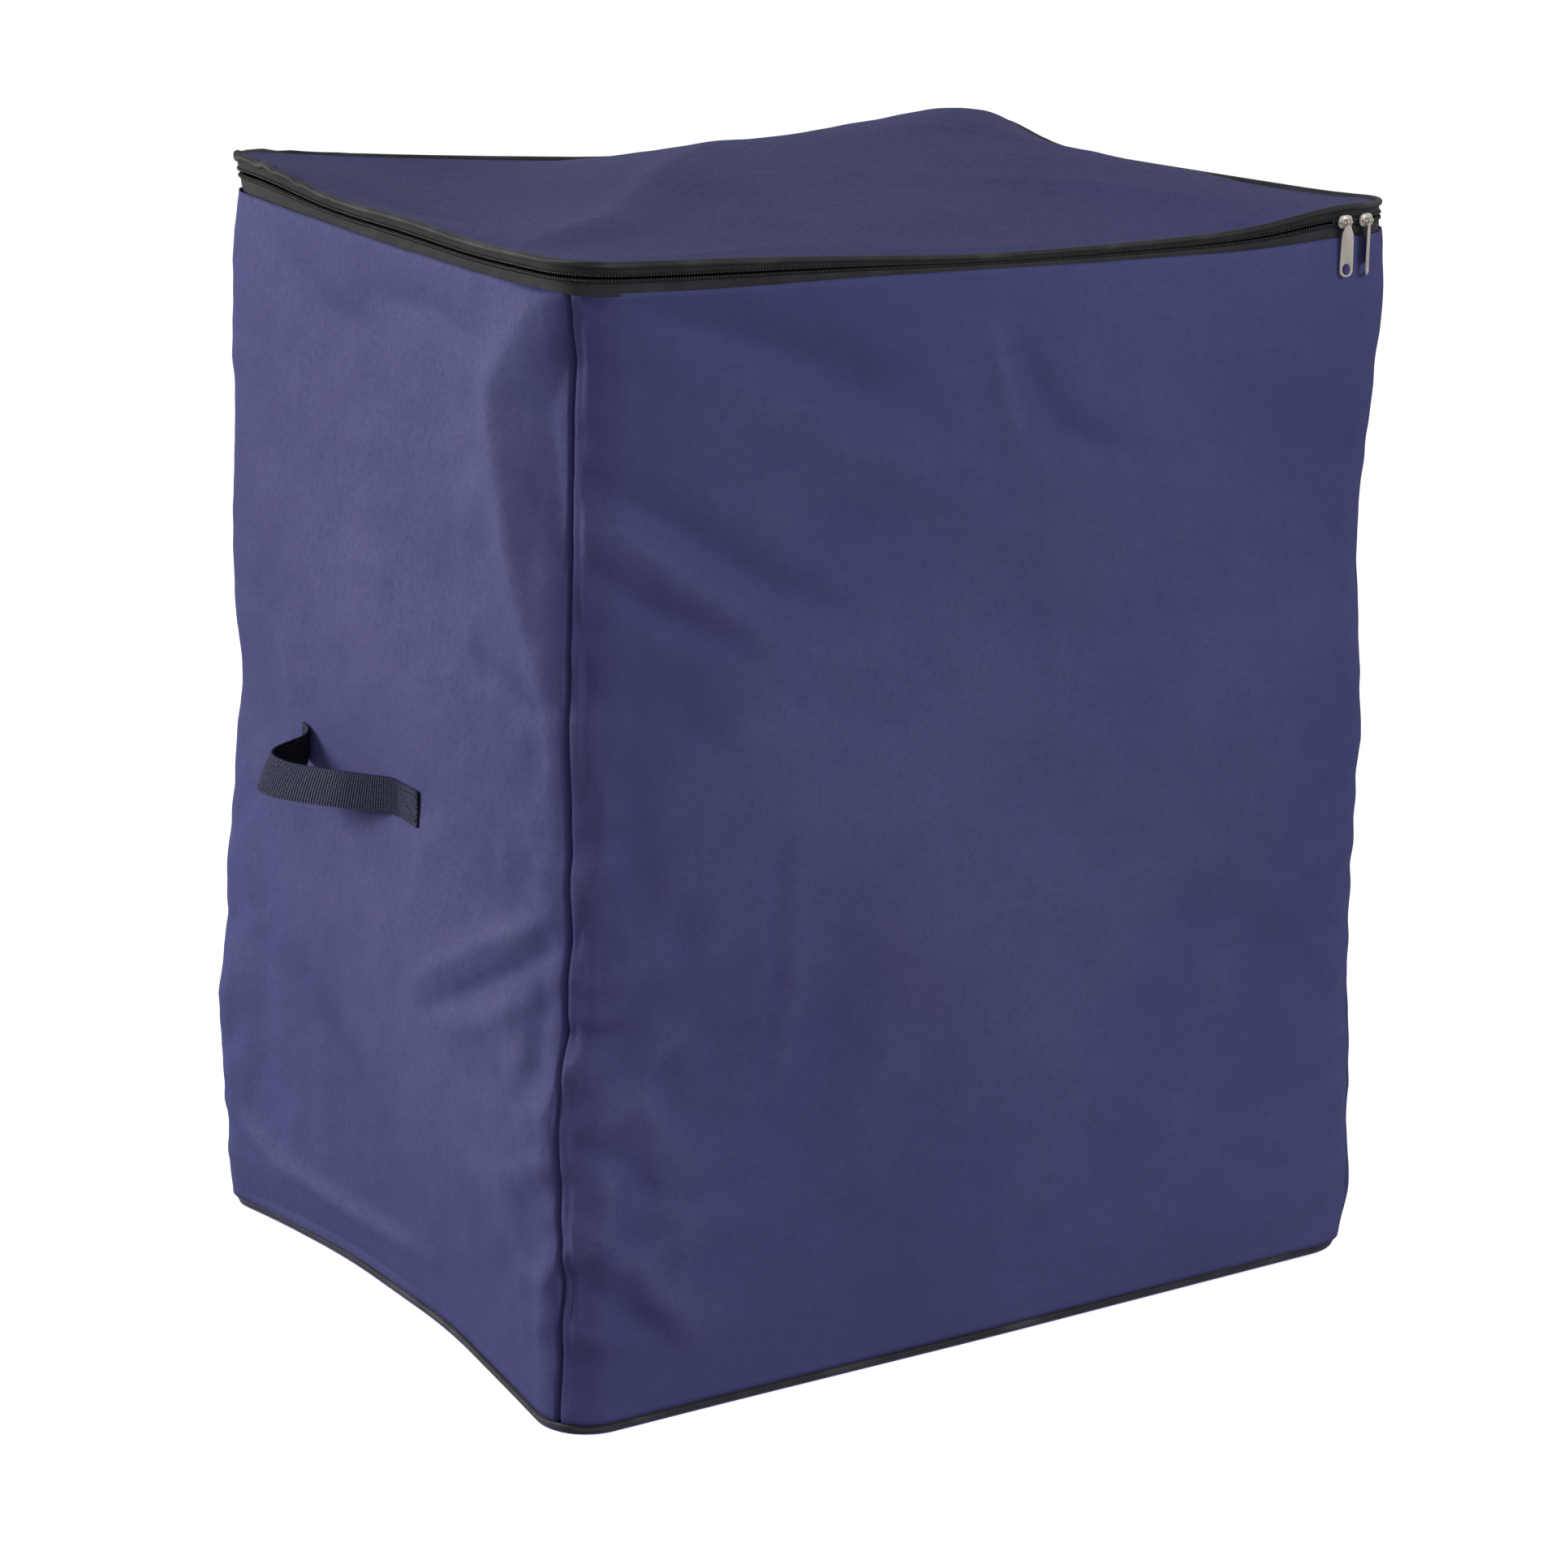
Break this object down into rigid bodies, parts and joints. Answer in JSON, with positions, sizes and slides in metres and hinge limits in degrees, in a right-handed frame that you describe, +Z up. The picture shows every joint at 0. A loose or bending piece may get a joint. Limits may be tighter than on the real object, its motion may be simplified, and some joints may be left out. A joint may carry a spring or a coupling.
{
  "type": "zip-top fabric storage bag",
  "caption": "Tall soft box-shaped storage bag with a zip-round hinged lid, double zip sliders with hanging pulls, and a webbing handle on each side.",
  "frame": {"origin": "on the floor under the middle of the bag", "axes": "+Z up, the front wall towards -Y, the left handle towards -X"},
  "size_m": [0.7388, 0.496, 0.76],
  "materials": {
    "wall_fabric": "navy coated weave, low sheen",
    "trim_fabric": "charcoal piping and binding",
    "tape_fabric": "matt woven zip tape",
    "webbing": "ribbed polypropylene webbing",
    "coil": "charcoal nylon coil",
    "slider_metal": "warm silver plated zinc"
  },
  "bodies": {
    "bag": {"front_panel": "wall_fabric", "back_panel": "wall_fabric", "left_panel": "wall_fabric", "right_panel": "wall_fabric", "base_panel": "wall_fabric", "base_piping": "trim_fabric", "base_binding": "trim_fabric", "corner_binding_front_left": "trim_fabric", "corner_binding_front_right": "trim_fabric", "corner_binding_back_left": "trim_fabric", "corner_binding_back_right": "trim_fabric", "zip_tape_lower": "tape_fabric", "zip_coil_lower": "coil", "zip_end_tab_left": "tape_fabric", "zip_end_tab_right": "tape_fabric", "back_hinge_strip": "wall_fabric", "handle_left_tab_front": "webbing", "handle_left_tab_back": "webbing", "handle_right_tab_front": "webbing", "handle_right_tab_back": "webbing"},
    "lid": {"lid_panel": "wall_fabric", "lid_piping": "trim_fabric", "lid_binding": "trim_fabric", "zip_tape_upper": "tape_fabric", "zip_coil_upper": "coil"},
    "slider_left": {"slider_left": "slider_metal"},
    "slider_right": {"slider_right": "slider_metal"},
    "pull_left": {"pull_left": "slider_metal"},
    "pull_right": {"pull_right": "slider_metal"},
    "handle_left": {"handle_left_loop": "webbing"},
    "handle_right": {"handle_right_loop": "webbing"}
  },
  "joints": [
    {"name": "lid_hinge", "type": "hinge", "parent": "bag", "child": "lid", "pos_m": [0, 0.245, 0.76], "axis": [-1, 0, 0], "range_deg": [0, 250]},
    {"name": "slider_left_travel", "type": "slide", "parent": "bag", "child": "slider_left", "axis": [-1, 0, 0], "range_m": [0, 0.545]},
    {"name": "slider_right_turn", "type": "hinge", "parent": "bag", "child": "slider_right", "pos_m": [0.285, -0.205, 0.7485], "axis": [0, 0, 1], "range_deg": [0, 78]},
    {"name": "pull_left_swing", "type": "hinge", "parent": "slider_left", "child": "pull_left", "pos_m": [0.272, -0.2487, 0.7485], "axis": [-1, 0, 0], "range_deg": [0, 150]},
    {"name": "pull_right_swing", "type": "hinge", "parent": "slider_right", "child": "pull_right", "pos_m": [0.29033, -0.24838, 0.7485], "axis": [-0.9925, -0.1219, 0], "range_deg": [0, 150]},
    {"name": "handle_left_lift", "type": "hinge", "parent": "bag", "child": "handle_left", "pos_m": [-0.3235, 0, 0.3865], "axis": [0, 1, 0], "range_deg": [0, 85]},
    {"name": "handle_right_lift", "type": "hinge", "parent": "bag", "child": "handle_right", "pos_m": [0.3235, 0, 0.3865], "axis": [0, -1, 0], "range_deg": [0, 85]}
  ]
}
